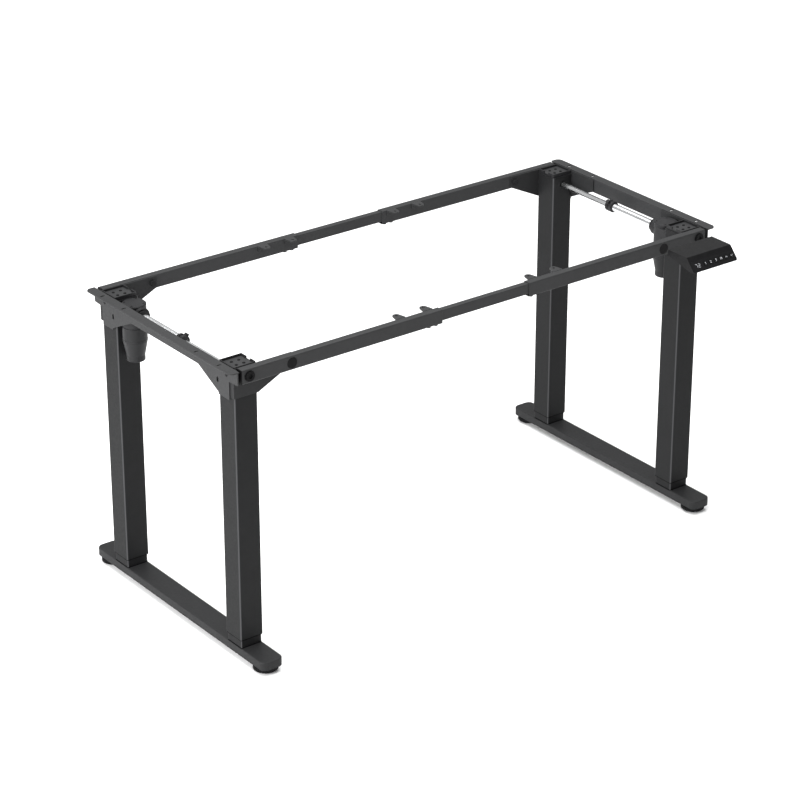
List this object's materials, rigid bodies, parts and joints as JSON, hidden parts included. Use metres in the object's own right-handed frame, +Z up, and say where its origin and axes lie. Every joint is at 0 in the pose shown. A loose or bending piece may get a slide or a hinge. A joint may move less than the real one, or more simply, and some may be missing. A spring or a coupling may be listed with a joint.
{
  "type": "standing desk frame",
  "caption": "Black height-adjustable desk frame with two-stage columns on flat foot bars, telescoping cross rails, side drive shafts and a sloping handset",
  "frame": {"origin": "on the floor, under the centre of the frame", "axes": "+X along the cross rails to the right, +Y from front to rear, +Z up"},
  "size_m": [1.396, 0.7684, 0.725],
  "materials": {
    "frame_paint": "satin powder coat",
    "column_paint": "satin powder coat",
    "bracket_paint": "satin powder coat",
    "bright_steel": "bright plated",
    "zinc_steel": "zinc plated",
    "dark_bolt": "black oxide",
    "black_plastic": "fine texture",
    "motor_paint": "satin",
    "nut_plastic": "natural",
    "pad_rubber": "knurled",
    "handset_plastic": "satin",
    "handset_gloss": "gloss",
    "button_plastic": "satin"
  },
  "bodies": {
    "left_foot": {"left_foot_bar": "column_paint", "left_inner_columns": "column_paint", "left_nut_blocks": "nut_plastic", "left_foot_bolts": "zinc_steel"},
    "left_frame": {"front_left_outer_column": "column_paint", "rear_left_outer_column": "column_paint", "left_glides": "black_plastic", "left_gearboxes": "motor_paint", "left_gear_housing": "black_plastic", "left_motor": "motor_paint", "left_top_trays": "black_plastic", "left_top_plates": "frame_paint", "left_corner_brackets": "bracket_paint", "left_side_rail": "frame_paint", "front_left_rail_tube": "frame_paint", "rear_left_rail_tube": "frame_paint", "left_rail_plugs": "black_plastic", "left_frame_bolts": "dark_bolt"},
    "inner_rails": {"front_inner_rail": "frame_paint", "rear_inner_rail": "frame_paint"},
    "right_frame": {"front_right_outer_column": "column_paint", "rear_right_outer_column": "column_paint", "right_glides": "black_plastic", "right_gearboxes": "motor_paint", "right_gear_housing": "black_plastic", "right_motor": "motor_paint", "right_top_trays": "black_plastic", "right_top_plates": "frame_paint", "right_corner_brackets": "bracket_paint", "right_side_rail": "frame_paint", "front_right_rail_tube": "frame_paint", "rear_right_rail_tube": "frame_paint", "right_rail_plugs": "black_plastic", "right_frame_bolts": "dark_bolt", "handset_housing": "handset_plastic", "handset_panel": "handset_gloss"},
    "right_foot": {"right_foot_bar": "column_paint", "right_inner_columns": "column_paint", "right_nut_blocks": "nut_plastic", "right_foot_bolts": "zinc_steel"},
    "left_drive_shaft": {"left_drive_tube": "bright_steel", "left_hex_rod": "bright_steel", "left_shaft_collar": "black_plastic"},
    "front_left_screw": {"front_left_spindle": "zinc_steel"},
    "front_left_foot_pad": {"front_left_leveller": "pad_rubber"},
    "rear_left_screw": {"rear_left_spindle": "zinc_steel"},
    "rear_left_foot_pad": {"rear_left_leveller": "pad_rubber"},
    "right_drive_shaft": {"right_drive_tube": "bright_steel", "right_hex_rod": "bright_steel", "right_shaft_collar": "black_plastic"},
    "front_right_screw": {"front_right_spindle": "zinc_steel"},
    "front_right_foot_pad": {"front_right_leveller": "pad_rubber"},
    "rear_right_screw": {"rear_right_spindle": "zinc_steel"},
    "rear_right_foot_pad": {"rear_right_leveller": "pad_rubber"},
    "key_1": {"button_1": "button_plastic"},
    "key_2": {"button_2": "button_plastic"},
    "key_3": {"button_3": "button_plastic"},
    "key_store": {"button_store": "button_plastic"},
    "key_up": {"button_up": "button_plastic"},
    "key_down": {"button_down": "button_plastic"}
  },
  "joints": [
    {"name": "left_lift", "type": "slide", "parent": "left_foot", "child": "left_frame", "axis": [0, 0, 1], "range_m": [0, 0.48]},
    {"name": "left_width", "type": "slide", "parent": "left_frame", "child": "inner_rails", "axis": [1, 0, 0], "range_m": [-0.095, 0.2]},
    {"name": "right_width", "type": "slide", "parent": "inner_rails", "child": "right_frame", "axis": [1, 0, 0], "range_m": [-0.095, 0.2]},
    {"name": "right_lift", "type": "slide", "parent": "right_frame", "child": "right_foot", "axis": [0, 0, -1], "range_m": [0, 0.48]},
    {"name": "left_shaft_spin", "type": "hinge", "parent": "left_frame", "child": "left_drive_shaft", "pos_m": [-0.64, 0, 0.6945], "axis": [0, 1, 0], "range_deg": [0, 21600]},
    {"name": "front_left_screw_spin", "type": "hinge", "parent": "left_frame", "child": "front_left_screw", "pos_m": [-0.64, -0.2355, 0.4], "axis": [0, 0, 1], "range_deg": [0, 21600]},
    {"name": "front_left_level", "type": "slide", "parent": "left_foot", "child": "front_left_foot_pad", "axis": [0, 0, -1], "range_m": [0, 0.01]},
    {"name": "rear_left_screw_spin", "type": "hinge", "parent": "left_frame", "child": "rear_left_screw", "pos_m": [-0.64, 0.2355, 0.4], "axis": [0, 0, 1], "range_deg": [0, 21600]},
    {"name": "rear_left_level", "type": "slide", "parent": "left_foot", "child": "rear_left_foot_pad", "axis": [0, 0, -1], "range_m": [0, 0.01]},
    {"name": "right_shaft_spin", "type": "hinge", "parent": "right_frame", "child": "right_drive_shaft", "pos_m": [0.64, 0, 0.6945], "axis": [0, 1, 0], "range_deg": [0, 21600]},
    {"name": "front_right_screw_spin", "type": "hinge", "parent": "right_frame", "child": "front_right_screw", "pos_m": [0.64, -0.2355, 0.4], "axis": [0, 0, 1], "range_deg": [0, 21600]},
    {"name": "front_right_level", "type": "slide", "parent": "right_foot", "child": "front_right_foot_pad", "axis": [0, 0, -1], "range_m": [0, 0.01]},
    {"name": "rear_right_screw_spin", "type": "hinge", "parent": "right_frame", "child": "rear_right_screw", "pos_m": [0.64, 0.2355, 0.4], "axis": [0, 0, 1], "range_deg": [0, 21600]},
    {"name": "rear_right_level", "type": "slide", "parent": "right_foot", "child": "rear_right_foot_pad", "axis": [0, 0, -1], "range_m": [0, 0.01]},
    {"name": "press_1", "type": "slide", "parent": "right_frame", "child": "key_1", "axis": [0, 0.7431, -0.6691], "range_m": [0, 0.0006], "stiffness_N_per_m": 800, "springref_m": -0.0006},
    {"name": "press_2", "type": "slide", "parent": "right_frame", "child": "key_2", "axis": [0, 0.7431, -0.6691], "range_m": [0, 0.0006], "stiffness_N_per_m": 800, "springref_m": -0.0006},
    {"name": "press_3", "type": "slide", "parent": "right_frame", "child": "key_3", "axis": [0, 0.7431, -0.6691], "range_m": [0, 0.0006], "stiffness_N_per_m": 800, "springref_m": -0.0006},
    {"name": "press_store", "type": "slide", "parent": "right_frame", "child": "key_store", "axis": [0, 0.7431, -0.6691], "range_m": [0, 0.0006], "stiffness_N_per_m": 800, "springref_m": -0.0006},
    {"name": "press_up", "type": "slide", "parent": "right_frame", "child": "key_up", "axis": [0, 0.7431, -0.6691], "range_m": [0, 0.0006], "stiffness_N_per_m": 800, "springref_m": -0.0006},
    {"name": "press_down", "type": "slide", "parent": "right_frame", "child": "key_down", "axis": [0, 0.7431, -0.6691], "range_m": [0, 0.0006], "stiffness_N_per_m": 800, "springref_m": -0.0006}
  ],
  "couplings": [
    {"joint": "right_lift", "follows": "left_lift", "ratio": 1},
    {"joint": "left_shaft_spin", "follows": "left_lift", "rad_per_m": 785.4},
    {"joint": "front_left_screw_spin", "follows": "left_lift", "rad_per_m": 785.4},
    {"joint": "rear_left_screw_spin", "follows": "left_lift", "rad_per_m": 785.4},
    {"joint": "right_shaft_spin", "follows": "left_lift", "rad_per_m": 785.4},
    {"joint": "front_right_screw_spin", "follows": "left_lift", "rad_per_m": 785.4},
    {"joint": "rear_right_screw_spin", "follows": "left_lift", "rad_per_m": 785.4}
  ]
}
